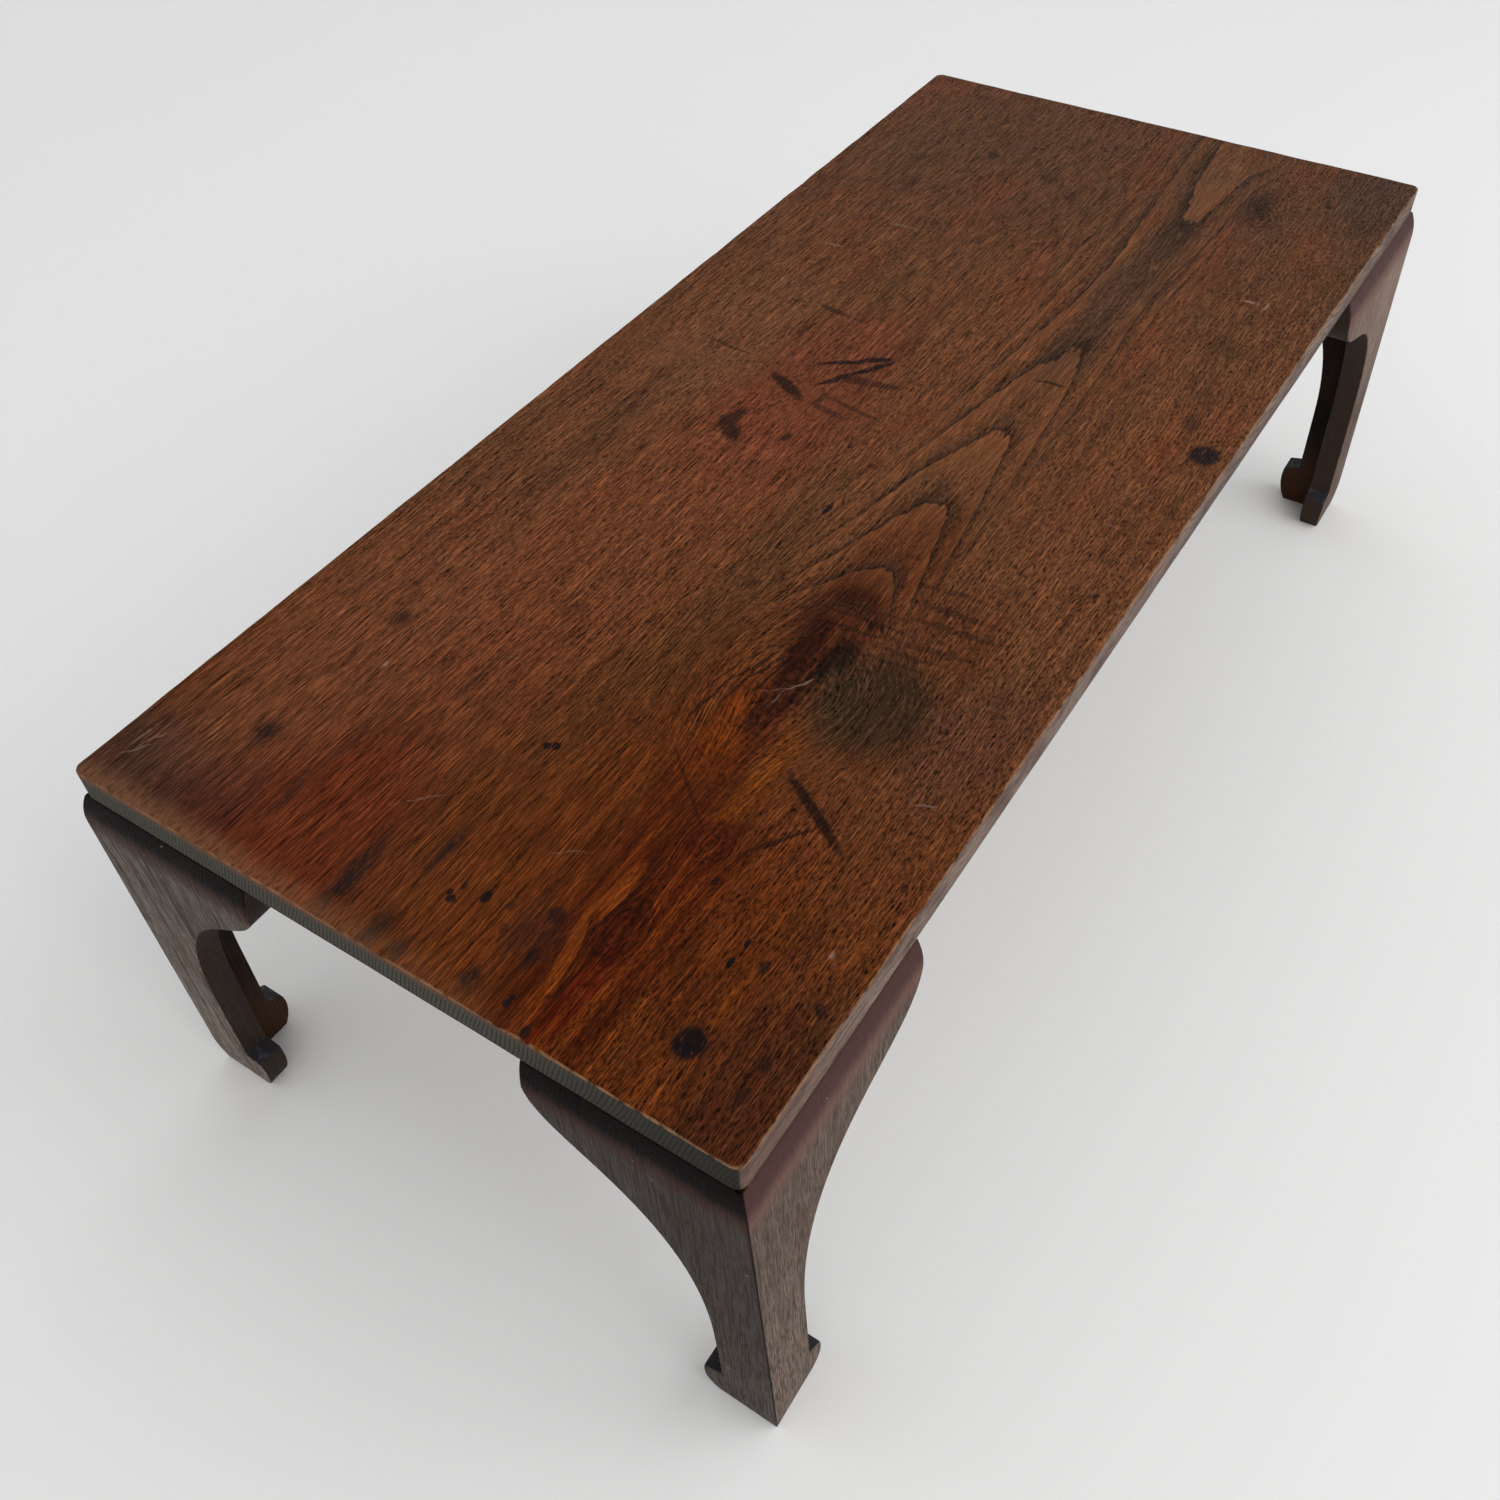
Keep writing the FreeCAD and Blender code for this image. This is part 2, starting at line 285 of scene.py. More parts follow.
# Broad tints on the top: how far past their radii they fade, then middle, radii, colour and strength
TINT_SPREAD = 1.5
TOP_TINTS = [
    ((-379, 66), (130, 70), (98, 51, 30), 0.5),
    ((-430, 72), (75, 46), (100, 33, 7), 0.45),
    ((-343, -25), (150, 52), (97, 50, 17), 0.6),
    ((-407, -118), (95, 50), (92, 42, 9), 0.7),
    ((-388, -92), (95, 26), (70, 23, 4), 0.8),
    ((-322, -72), (115, 17), (76, 32, 8), 0.8),
    ((-258, -66), (42, 12), (100, 48, 12), 0.7),
    ((-201, 2), (130, 34), (84, 57, 33), 0.45),
    ((-170, 62), (150, 55), (118, 64, 36), 0.55),
    ((-112, -77), (58, 26), (86, 42, 18), 0.65),
    ((-166, -72), (42, 24), (66, 30, 14), 0.75),
    ((-228, -74), (29, 10), (58, 29, 18), 0.85),
    ((-192, -87), (15, 8), (13, 9, 6), 0.85),
    ((-285, -96), (40, 9), (112, 60, 14), 0.6),
    ((-248, -62), (24, 4.5), (114, 57, 15), 0.6),
    ((-186, -66), (24, 7), (40, 13, 6), 0.8),
    ((-150, -73), (11, 12), (44, 15, 6), 0.6),
    ((-425, -96), (38, 5), (76, 18, 4), 0.8),
    ((-443, 176), (48, 40), (56, 42, 38), 0.6),
    ((-439, 125), (38, 25), (60, 29, 28), 0.5),
    ((-440, -185), (70, 32), (62, 30, 16), 0.7),
    ((0, 52), (95, 46), (112, 55, 35), 0.55),
    ((206, -71), (115, 17), (68, 50, 36), 0.55),
    ((379, -71), (75, 10), (108, 74, 48), 0.35),
    ((-300, 145), (110, 50), (118, 68, 42), 0.6),
    ((35, 130), (80, 35), (116, 74, 48), 0.5),
    ((-205, -172), (48, 26), (84, 50, 36), 0.6),
    ((-148, -130), (40, 25), (82, 43, 21), 0.5),
    ((434, -185), (65, 38), (66, 49, 40), 0.55),
    ((-326, -98), (15, 10), (72, 26, 12), 0.8),
    ((-386, -92), (17, 9), (64, 22, 8), 0.8),
]

# The grey disc beside the main knot, and the fine lines that run round that knot
DISC_MIDDLE = (-211, -118)
DISC_RADII = (35, 31)
KNOT_LINE_GAP = 4.2
KNOT_LINE_REACH = (62, 50)
KNOT_CORE = 26.0

# Dark rings of the knots: middle, radii and number of rings
SWIRLS = [
    ((-224, -76), (33, 20), 4),
    ((-386, -92), (27, 17), 5),
    ((-326, -98), (17, 12), 4),
    ((354, -117), (26, 15), 5),
]

# Orange and dark streaks at the near end: middle and radii
FIRE_MIDDLE = (-400, -108)
FIRE_RADII = (95, 66)

# Warm glow of the heart at the near end: middle, radii and the share of each colour that it leaves
WARM_MIDDLE = (-300, -48)
WARM_RADII = (135, 62)
WARM_TINT = (1.0, 0.84, 0.66, 1.0)

# Pale flames at the near end: middle, radii and turn in degrees, then how their dark rim differs
FLAMES = [
    ((-375, -77.5), (25, 4.6), -4.0),
    ((-411, -79.5), (21, 3.4), 12.0),
]
FLAME_RIM = 1.15
RIM_SHIFT = (3.0, -2.2)

# Round stains: middle, radii and strength
DARK_SPOTS = [
    ((-418, -150), (8.5, 7.5), 0.95),
    ((68.5, -184.5), (10, 9), 0.92),
    ((345, 93), (5, 4.5), 0.65),
    ((-97, -144), (4.5, 3.5), 0.45),
    ((-318, 5.5), (2.8, 1.8), 0.95),
    ((-315, 2), (2.6, 2.2), 0.95),
    ((-88, -18.4), (4.6, 2.6), 0.95),
    ((-414, -15), (2.6, 2.6), 0.9),
    ((-411, -12), (2.2, 1.6), 0.9),
    ((-405.5, -16), (1.9, 1.3), 0.7),
    ((-405, -28.5), (3.6, 2.4), 0.9),
    ((-414, -46), (2.6, 1.9), 0.5),
    ((-403, -41), (3.2, 2.2), 0.5),
    ((-396, -62), (4.6, 4.0), 0.6),
    ((-420, -67), (6.0, 2.4), 0.6),
    ((-443, -72), (2.4, 1.8), 0.85),
    ((-439.5, -72), (1.7, 1.7), 0.85),
    ((-450, -88), (3, 2), 0.8),
    ((-375, -142), (3.4, 1.3), 0.9),
    ((-363, -143), (2.4, 1.1), 0.9),
    ((-370, -156.5), (4, 2.4), 0.7),
    ((-342.5, -112), (3.4, 1.2), 0.8),
    ((-427, -182), (4.4, 2.8), 0.5),
    ((-409, -182), (4.2, 3), 0.45),
    ((-375, -188), (3.4, 2.2), 0.7),
    ((-302, -188), (2.8, 1.8), 0.7),
    ((-42, 39), (4.6, 2.4), 0.8),
    ((-78.5, -181), (2.6, 1.6), 0.85),
    ((392, -152.5), (3.4, 2.6), 0.7),
    ((354, -117), (3.4, 2.6), 0.6),
]

# Faint smudges: middle, radii and strength
SMUDGES = [
    ((-387, 133), (10, 6), 0.9),
    ((-289, 131), (6, 4.5), 0.8),
    ((-404, 95), (20, 4), 0.5),
    ((-352, 92), (26, 3), 0.45),
    ((-300, 66), (34, 3), 0.4),
    ((-432, 33), (24, 5), 0.9),
    ((-443, 4), (12, 6), 0.9),
    ((-448, -12), (8, 5), 0.85),
    ((-393, 5), (13, 3.4), 0.85),
    ((-407, -60), (14, 13), 0.55),
    ((-446, -52), (7, 4.5), 0.95),
    ((96, -165), (8, 6), 0.55),
    ((132, -160), (9, 9), 0.4),
    ((183, -153), (8, 26), 0.25),
    ((274, 127), (14, 5), 0.45),
    ((338, 42), (10, 6), 0.45),
    ((320, 15), (18, 4), 0.35),
    ((370, -108), (20, 9), 0.8),
    ((-43, 144), (20, 5), 0.3),
]

# Dark strokes: start, end, width and strength
DARK_STROKES = [
    ((36, 62), (54, 37), 3.8, 0.95),
    ((46, 48), (64, 23), 3.8, 0.95),
    ((15, 52), (42, 34), 3.4, 0.9),
    ((34, 39.5), (62, 21), 3.8, 0.95),
    ((12, 82), (-3, 53), 7.0, 0.85),
    ((29, 42), (34, 22), 7.0, 0.65),
    ((33, 24), (37, 5), 4.4, 0.65),
    ((25, 139), (22, 107), 2.2, 0.55),
    ((58, 92), (75, 90), 2.2, 0.6),
    ((97, 97), (93, 76), 3.6, 0.7),
    ((93, 78), (93, 60), 2.2, 0.4),
    ((92.5, 118), (95, 108), 2.2, 0.6),
    ((-6, 43), (10, 41), 3.0, 0.6),
    ((7, 42), (1, -3), 2.6, 0.5),
    ((-4, 44), (-8.5, 18), 4.2, 0.55),
    ((-60, 64), (-44, 84), 9.0, 0.8),
    ((-51, 82), (-30, 77), 7.0, 0.8),
    ((-271, -108), (-299, -152), 4.4, 0.85),
    ((-322, -115), (-293, -135), 1.8, 0.7),
    ((-319, -88), (-286, -50), 1.6, 0.5),
    ((88, -66), (92.5, -84), 2.4, 0.75),
    ((-163, -90), (-156.5, -86.5), 2.0, 0.9),
    ((-162, -96.5), (-154.5, -92.5), 2.0, 0.9),
    ((-262, -43), (-230, -47), 1.6, 0.75),
    ((-232, -47), (-203, -57), 1.8, 0.8),
    ((-250, -51), (-224, -54), 1.5, 0.7),
    ((-226, -54), (-203, -62), 1.5, 0.8),
    ((-246, -38), (-214, -46), 1.2, 0.55),
    ((-215, -46), (-196, -55), 1.2, 0.6),
    ((-240, -61), (-206, -64), 1.3, 0.6),
    ((-170, -62), (-165, -102), 2.0, 0.5),
    ((-160, -58), (-156, -106), 2.0, 0.5),
    ((-151, -60), (-147, -104), 2.0, 0.45),
    ((-181, -92), (-177, -128), 2.2, 0.4),
    ((-172, -98), (-168, -136), 2.2, 0.4),
    ((-163, -104), (-158, -148), 3.4, 0.42),
    ((-143, -108), (-139, -152), 3.8, 0.5),
    ((-131, -100), (-128, -142), 3.8, 0.45),
    ((-116, -100), (-113, -132), 3.4, 0.35),
]

# Pale scratches and flecks: start, end, width and strength
PALE_STROKES = [
    ((-239, -73.5), (-224, -75.5), 0.7, 0.24),
    ((-225, -75), (-216, -81), 0.7, 0.4),
    ((-217, -80.5), (-210, -83), 1.1, 0.4),
    ((-231, -64), (-223, -75), 0.6, 0.18),
    ((-433, 186), (-422, 177), 1.0, 0.3),
    ((-430, 183), (-416, 180), 1.0, 0.25),
    ((-426, 187), (-410, 185), 1.0, 0.3),
    ((-419, 181), (-413, 176), 1.0, 0.3),
    ((-369, -38), (-361, -52), 1.0, 0.13),
    ((-320, 115), (-315, 115), 1.6, 0.5),
    ((168, 139), (170, 125), 1.6, 0.35),
    ((216, 109), (217, 91), 1.6, 0.35),
    ((243, -144), (243.5, -154), 2.0, 0.6),
    ((237, -159), (247, -160), 1.6, 0.6),
    ((-256, -168), (-252, -177), 1.2, 0.3),
    ((-385, 44), (-370, 28), 0.9, 0.2),
    ((-351, -178), (-348, -178), 1.6, 0.5),
]

# Specular level of the dry, hand-worn surfaces
TOP_SHINE = 0.03
LEG_SHINE = 0.06

# Depth of the relief on each wood, in millimetres
TOP_RELIEF = 0.25
LEG_RELIEF = 0.3
PLAIN_RELIEF = 0.25

# Patches of the top board's patterns: sizes in millimetres along the table, across it and up
WOBBLE_PATCH = (14, 14, 14)
BROAD_PATCH = (60, 60, 60)
DRIFT_PATCH = (240, 80, 80)
RING_WAVE_PATCH = (95, 26, 26)
RING_RAG_PATCH = (12, 4, 4)
STRIPE_PATCH = (260, 7, 7)
STREAK_PATCH = (80, 6, 6)
CLOUD_PATCH = (130, 42, 42)
FIRE_PATCH = (90, 7, 7)
LONG_PORE = (17, 0.95, 0.95)
SHORT_PORE = (5, 0.95, 0.95)
PALE_FIBRE = (24, 0.95, 0.95)
THREAD = (150, 1.5, 1.5)
SPECKLE = (3.5, 1.25, 1.25)
GRIT = (5, 1.8, 1.8)
GLOSS_PATCH = (45, 30, 30)

# How far marks and fibres of the top stray from their drawn places, in millimetres
LOOSE_STRAY = (5.0, 4.0)
CLOUDY_STRAY = (26.0, 14.0)
FIBRE_DRIFT = 10.0
KNOT_LINE_STRAY = 14.0

# Colours of the top face
TOP_BROWN = srgb(109, 66, 39)
TOP_STRIPE = srgb(80, 49, 29)
NEAR_BROWN = srgb(92, 45, 15)
FAR_BROWN = srgb(82, 54, 35)
RED_CLOUD = srgb(111, 56, 32)
OLIVE_CLOUD = srgb(83, 57, 33)
FIRE_BRIGHT = srgb(120, 57, 15)
FIRE_DARK = srgb(46, 15, 4)
DISC_GREY = srgb(40, 31, 20)
DISC_LINE = srgb(92, 76, 54)
KNOT_DARK_LINE = srgb(42, 20, 9)
KNOT_PALE_LINE = srgb(108, 64, 38)
SWIRL_DARK = srgb(38, 13, 5)
FLAME_EDGE = srgb(38, 14, 5)
FLAME_ORANGE = srgb(118, 54, 13)
LATE_WOOD = srgb(108, 66, 36)
EARLY_WOOD = srgb(60, 41, 28)
RING_EDGE = srgb(34, 23, 17)
SMUDGE_DARK = srgb(30, 22, 21)
STROKE_DARK = srgb(22, 13, 10)
SPOT_DARK = srgb(15, 15, 18)
SCRATCH_PALE = srgb(160, 136, 120)
UNDER_BROWN = srgb(90, 60, 42)
UNDER_STRIPE = srgb(64, 43, 31)


class TopShader(Shader):
    """The top board's material, with the places that its patterns share."""

    def __init__(self, name):
        super().__init__(name)
        self.whole, self.x, self.y, self.z = self.place()
        self.flat = self.join(self.x, self.y, 0.0)
        self.wobble = self.noise(self.flat, WOBBLE_PATCH, detail=3.0) - 0.5
        self.loose = self.strayed(self.wobble, LOOSE_STRAY)
        self.broad = self.noise(self.flat, BROAD_PATCH) - 0.5
        self.cloudy = self.strayed(self.broad, CLOUDY_STRAY)
        self.line = self.fibre_line()
        self.fibres = self.join(self.x, self.line, self.z)

    def strayed(self, amount, reach):
        """The plan moved by an amount of a reach along the table and across it."""
        return self.join(self.x + amount * reach[0], self.y + amount * reach[1], 0.0)

    def fibre_line(self):
        """The line that the fibres follow across the top, after they have gone round the knots."""
        drift = self.noise(self.flat, DRIFT_PATCH) - 0.5
        line = self.y + drift * FIBRE_DRIFT
        for middle, radii, _, push in KNOTS:
            swirl = self.hump(self.flat, middle, radii)
            line = line - (line - middle[1]) * swirl * push
        return line


def ring_bands(wood):
    """The early wood, the late wood and the dark edge of each ring, where the rings show clearly."""
    heart = wood.line - HEART_Y
    front = wood.math("LESS_THAN", heart, 0.0)
    spread = front * (1 / RING_SPREAD_FRONT - 1 / RING_SPREAD_BACK) + 1 / RING_SPREAD_BACK
    rings = wood.curve(wood.x, HEART_RINGS, FEWEST_RINGS, MOST_RINGS) + heart * heart * spread
    for middle, radii, pull, _ in KNOTS:
        rings = rings - wood.hump(wood.flat, middle, radii) * pull
    wave = wood.noise(wood.flat, RING_WAVE_PATCH) - 0.5
    ragged = wood.noise(wood.flat, RING_RAG_PATCH) - 0.5
    near_heart = wood.smooth(abs(heart) * (front * 0.6 + 1.0), 75.0, 22.0)
    clear = near_heart * wood.smooth(wood.x, -190.0, -125.0)
    turn = wood.math("FRACT", rings + wave * 0.4 + ragged * 0.22)
    early = wood.smooth(turn, 0.5, 0.0) * clear
    late = wood.smooth(turn, 0.45, 0.95) * clear
    edge = wood.smooth(turn, 0.10, 0.02) * wood.smooth(turn, 0.0, 0.015) * clear
    return early, late, edge


def board_ground(wood, stripes):
    """The plain board: striped brown, redder at the near end, duller at the far end, and clouded."""
    colour = wood.paint(TOP_BROWN, wood.smooth(stripes, 0.42, 0.64) * 0.5, TOP_STRIPE)
    colour = wood.paint(colour, wood.smooth(wood.x, -150.0, -360.0) * 0.75, NEAR_BROWN)
    colour = wood.paint(colour, wood.smooth(wood.x, 60.0, 400.0) * 0.65, FAR_BROWN)
    cloud = wood.noise(wood.flat, CLOUD_PATCH, detail=3.0)
    colour = wood.paint(colour, wood.smooth(cloud, 0.52, 0.72) * 0.5, RED_CLOUD)
    return wood.paint(colour, wood.smooth(cloud, 0.46, 0.28) * 0.5, OLIVE_CLOUD)


def board_tints(wood, colour, streaks):
    """Lays the broad tints on a colour, streaked along the fibres."""
    for middle, radii, tint, strength in TOP_TINTS:
        inside = wood.near(wood.cloudy, middle, widened(radii, TINT_SPREAD)) * streaks
        colour = wood.paint(colour, wood.smooth(inside, 0.05, 0.55, strength), srgb(*tint))
    return colour


def near_end(wood, colour, fire):
    """Lays the orange and dark streaks of the near end, and its warm glow, on a colour."""
    reach = wood.hump(wood.flat, FIRE_MIDDLE, FIRE_RADII)
    colour = wood.paint(colour, wood.smooth(fire, 0.52, 0.66) * reach * 0.7, FIRE_BRIGHT)
    colour = wood.paint(colour, wood.smooth(fire, 0.48, 0.34) * reach * 0.7, FIRE_DARK)
    return wood.paint(colour, wood.hump(wood.cloudy, WARM_MIDDLE, WARM_RADII), WARM_TINT, "MULTIPLY")


def main_knot(wood, colour, streaks):
    """Lays the grey disc, and the fine lines that run round the main knot, on a colour."""
    middle = KNOTS[0][0]
    disc = wood.spot(wood.loose, DISC_MIDDLE, DISC_RADII, soft=0.4)
    reach = wood.distance(wood.loose, middle) + wood.broad * KNOT_LINE_STRAY
    rings = wood.math("FRACT", reach * (1 / KNOT_LINE_GAP))
    lines = wood.smooth(abs(rings - 0.5), 0.26, 0.48) * wood.smooth(streaks, 0.7, 1.3)
    outside_core = wood.smooth(reach, KNOT_CORE, 2 * KNOT_CORE)
    around = wood.hump(wood.flat, middle, KNOT_LINE_REACH) * outside_core
    colour = wood.paint(colour, disc * 0.8, DISC_GREY)
    back = wood.smooth(wood.y, middle[1] - 6.0, middle[1] + 22.0)
    colour = wood.paint(colour, lines * around * back * 0.7, KNOT_DARK_LINE)
    colour = wood.paint(colour, lines * disc * 0.3, DISC_LINE)
    return wood.paint(colour, lines * around * (1.0 - back) * 0.3, KNOT_PALE_LINE)


def knot_swirls(wood, colour):
    """Lays the dark rings of the knots on a colour."""
    for middle, radii, count in SWIRLS:
        inside = wood.near(wood.loose, middle, radii)
        turns = wood.smooth(wood.math("FRACT", inside * count + wood.wobble * 2.0), 0.3, 0.85)
        colour = wood.paint(colour, turns * wood.smooth(inside, 0.0, 0.5) * 0.55, SWIRL_DARK)
    return colour


def pale_flames(wood, colour, fire):
    """Lays the flames of the near end, each with a dark rim on one side, on a colour."""
    for middle, radii, tilt in FLAMES:
        shifted = (middle[0] + RIM_SHIFT[0], middle[1] + RIM_SHIFT[1])
        rim = wood.spot(wood.loose, shifted, widened(radii, FLAME_RIM), 0.65, tilt, 0.25)
        colour = wood.paint(colour, rim, FLAME_EDGE)
        flame = wood.spot(wood.loose, middle, radii, 0.9, tilt, 0.15) * wood.smooth(fire, 0.2, 0.5)
        colour = wood.paint(colour, flame, FLAME_ORANGE)
    return colour


def board_pores(wood, front):
    """Dark pores: long dashes at the back of the top and short ones at its front."""
    long_pores = wood.patches(wood.fibres, LONG_PORE, 0.48, 0.58, detail=3.0, roughness=0.8)
    short_pores = wood.patches(wood.fibres, SHORT_PORE, 0.48, 0.58, detail=3.0, roughness=0.8)
    return wood.math("MAXIMUM", long_pores * (1.0 - front * 0.7), short_pores * (front * 0.6 + 0.4))


def board_marks(wood, colour, grit):
    """Lays the stains, strokes and scratches on a colour."""
    smudges = wood.larger(wood.spot(wood.cloudy, *smudge, soft=0.9) for smudge in SMUDGES)
    colour = wood.paint(colour, smudges * wood.smooth(grit, 0.28, 0.5), SMUDGE_DARK)
    strokes = wood.larger(wood.stroke(wood.loose, *stroke, soft=0.35) for stroke in DARK_STROKES)
    colour = wood.paint(colour, strokes * wood.smooth(grit, 0.2, 0.48), STROKE_DARK)
    spots = wood.larger(wood.spot(wood.loose, *spot) for spot in DARK_SPOTS)
    colour = wood.paint(colour, spots * wood.smooth(grit, 0.2, 0.45), SPOT_DARK)
    pale = wood.larger(wood.stroke(wood.loose, *stroke) for stroke in PALE_STROKES)
    return wood.paint(colour, pale * wood.smooth(grit, 0.3, 0.5), SCRATCH_PALE)


def top_wood():
    """The top board: cathedral figure, knots, pores, tints, stains and a worn, paler arris."""
    wood = TopShader("top_wood_worn")
    early, late, ring_edge = ring_bands(wood)
    stripes = wood.noise(wood.fibres, STRIPE_PATCH, detail=3.0, roughness=0.6)
    streaks = (wood.noise(wood.fibres, STREAK_PATCH, detail=3.0, roughness=0.6) - 0.5) * 2.4 + 1.0
    colour = board_ground(wood, stripes)
    colour = board_tints(wood, colour, streaks)
    fire = wood.noise(wood.fibres, FIRE_PATCH, detail=3.0, roughness=0.65)
    colour = near_end(wood, colour, fire)
    colour = main_knot(wood, colour, streaks)
    colour = knot_swirls(wood, colour)
    colour = pale_flames(wood, colour, fire)

    front = wood.smooth(wood.y, -30.0, -130.0)
    pores = board_pores(wood, front) * (1.0 - late * 0.65)
    pale_fibres = wood.patches(wood.fibres, PALE_FIBRE, 0.52, 0.61, detail=3.0, roughness=0.75)
    colour = wood.paint(colour, late * 0.18, LATE_WOOD)
    colour = wood.paint(colour, early * 0.6, EARLY_WOOD)
    colour = wood.paint(colour, ring_edge * 0.62, RING_EDGE)
    threads = wood.noise(wood.fibres, THREAD, detail=3.0, roughness=0.7) - 0.5
    speckled = wood.math("MAXIMUM", wood.smooth(wood.x, -430.0, -200.0), front) * (1.0 - late * 0.7)
    speckle = (wood.noise(wood.fibres, SPECKLE, detail=1.0) - 0.5) * speckled
    streaky = threads * (1.3 - front * 0.5)
    speckle_and_pores = speckle * 2.0 - pores * (early * 0.3 + 0.68)
    colour = wood.scale(colour, pale_fibres + streaky + speckle_and_pores + 1.05)

    grit = wood.noise(wood.fibres, GRIT)
    colour = board_marks(wood, colour, grit)
    underside = wood.paint(UNDER_BROWN, wood.smooth(stripes, 0.4, 0.66) * 0.6, UNDER_STRIPE)
    underside = wood.scale(underside, pale_fibres * 0.4 - pores * 0.6 + threads + 1.0)
    colour = wood.paint(colour, wood.smooth(wood.facing()[2], -0.2, -0.6), underside)
    colour = edge_colours(wood, colour, grit)

    relief = 0.6 - pores * 0.5 + pale_fibres * 0.2
    gloss = wood.noise(wood.flat, GLOSS_PATCH, detail=3.0)
    roughness = gloss * 0.22 + pores * 0.15 + 0.4
    return wood.finish(colour, roughness, relief, TOP_RELIEF, TOP_SHINE)


# Edges of the top: patches, gaps and reaches in millimetres
END_WAVE_PATCH = (30, 30, 30)
END_LINE_STRAY = 6.0
END_LINE_GAP = 2.4
END_LINE_SLANT = 0.35
EDGE_WAVE_PATCH = (70, 70, 30)
EDGE_WAVE_REACH = 26.0
EDGE_FIGURE_GAP = 5.0
EDGE_FIGURE_SLANT = 0.16
HAIRLINE_PATCH = (60, 3, 1.3)
BLOTCH_PATCH = (26, 26, 12)
ARRIS_PATCH = (7, 7, 7)
END_WEAR = 16.0

# Colours of the top's edges
END_DARK = srgb(44, 44, 40)
END_GREY = srgb(80, 80, 72)
END_LINE = srgb(30, 31, 28)
END_GRIT = srgb(56, 48, 41)
END_BROWN = srgb(108, 74, 56)
EDGE_PALE = srgb(136, 117, 105)
EDGE_STRIPE = srgb(76, 62, 56)
EDGE_LOW = srgb(84, 74, 68)
EDGE_NEAR = srgb(96, 70, 62)
EDGE_HAIRLINE = srgb(70, 58, 52)
EDGE_BLOTCH = srgb(84, 64, 60)
EDGE_GRIT = srgb(56, 40, 34)
ARRIS_PALE = srgb(156, 118, 90)
END_WEAR_PALE = srgb(134, 92, 64)


def end_grain(wood, grit):
    """Fine slanting lines on the top's sawn ends, darker at the front and browned under the arris."""
    stray = (wood.noise(wood.whole, END_WAVE_PATCH) - 0.5) * END_LINE_STRAY
    slant = wood.y + wood.z * END_LINE_SLANT + stray
    line = wood.math("FRACT", slant * (1 / END_LINE_GAP))
    lines = wood.smooth(abs(line - 0.5), 0.26, 0.44)
    colour = wood.paint(END_DARK, wood.smooth(wood.y, -230.0, -30.0), END_GREY)
    under_arris = wood.smooth(wood.z, TABLE_HEIGHT - 7.0, TABLE_HEIGHT - 1.5)
    browned = under_arris * wood.smooth(wood.y, -150.0, -20.0)
    colour = wood.paint(colour, lines * 0.8, END_LINE)
    colour = wood.paint(colour, grit * 0.4, END_GRIT)
    return wood.paint(colour, browned * 0.8, END_BROWN)


def long_edge(wood, grit):
    """Wavy figure on the top's long edges, with hairlines and blotches."""
    wave = wood.noise(wood.whole, EDGE_WAVE_PATCH) * EDGE_WAVE_REACH
    figure = wood.math("FRACT", (wood.z + wood.x * EDGE_FIGURE_SLANT + wave) * (1 / EDGE_FIGURE_GAP))
    stripes = wood.smooth(figure, 0.6, 0.0) * (wood.smooth(wood.x, -150.0, 300.0) * 0.45 + 0.4)
    colour = wood.paint(EDGE_PALE, stripes, EDGE_STRIPE)
    low = wood.smooth(wood.z, TABLE_HEIGHT - 8.0, TOP_UNDERSIDE + 2.0)
    colour = wood.paint(colour, low * wood.smooth(wood.x, -200.0, 60.0) * 0.6, EDGE_LOW)
    colour = wood.paint(colour, wood.smooth(wood.x, -360.0, -430.0) * 0.6, EDGE_NEAR)
    hairlines = wood.patches(wood.whole, HAIRLINE_PATCH, 0.5, 0.66)
    colour = wood.paint(colour, hairlines * 0.55, EDGE_HAIRLINE)
    blotches = wood.patches(wood.whole, BLOTCH_PATCH, 0.42, 0.68, detail=3.0)
    colour = wood.paint(colour, blotches * 0.7, EDGE_BLOTCH)
    return wood.paint(colour, wood.smooth(grit, 0.5, 0.7) * 0.4, EDGE_GRIT)


def edge_colours(wood, colour, grit):
    """Lays the end grain, the long edges and the paler wear along the arris on a colour."""
    across, along, up = (abs(part) for part in wood.facing())
    end = wood.smooth(across, 0.6, 0.8)
    side = wood.smooth(along, 0.6, 0.8)
    colour = wood.paint(colour, end, end_grain(wood, grit))
    colour = wood.paint(colour, side, long_edge(wood, grit))
    arris = wood.smooth(up, 0.985, 0.9) * wood.smooth(up, 0.2, 0.5)
    worn = wood.patches(wood.whole, ARRIS_PATCH, 0.36, 0.6, detail=3.0)
    colour = wood.paint(colour, arris * worn * 0.7, ARRIS_PALE)
    near_edge = wood.smooth(wood.x, END_WEAR - HALF_LENGTH, 2.0 - HALF_LENGTH)
    end_wear = near_edge * wood.smooth(grit, 0.2, 0.62)
    return wood.paint(colour, end_wear * wood.smooth(wood.y, -120.0, 120.0) * up * 0.6, END_WEAR_PALE)


# Patches of the leg boards' patterns: sizes in millimetres along the table, across it and up
WANDER_PATCH = (40, 40, 160)
BAND_PATCH = (9, 9, 300)
LINE_PATCH = (1.0, 1.0, 34)
DASH_PATCH = (0.85, 0.85, 9)
LONG_LINE_PATCH = (1.5, 1.5, 160)
DIRT_PATCH = (50, 50, 70)
LEG_ARRIS_PATCH = (8, 8, 8)
RAGGED_PATCH = (6, 6, 22)
SCUFF_PATCH = (5, 5, 5)
FLECK_PATCH = (3.2, 3.2, 3.2)

# How far a leg's fibres and the foot of its painted shade under the top stray, in millimetres
LEG_FIBRE_STRAY = 6.0
SHADE_STRAY = 12.0
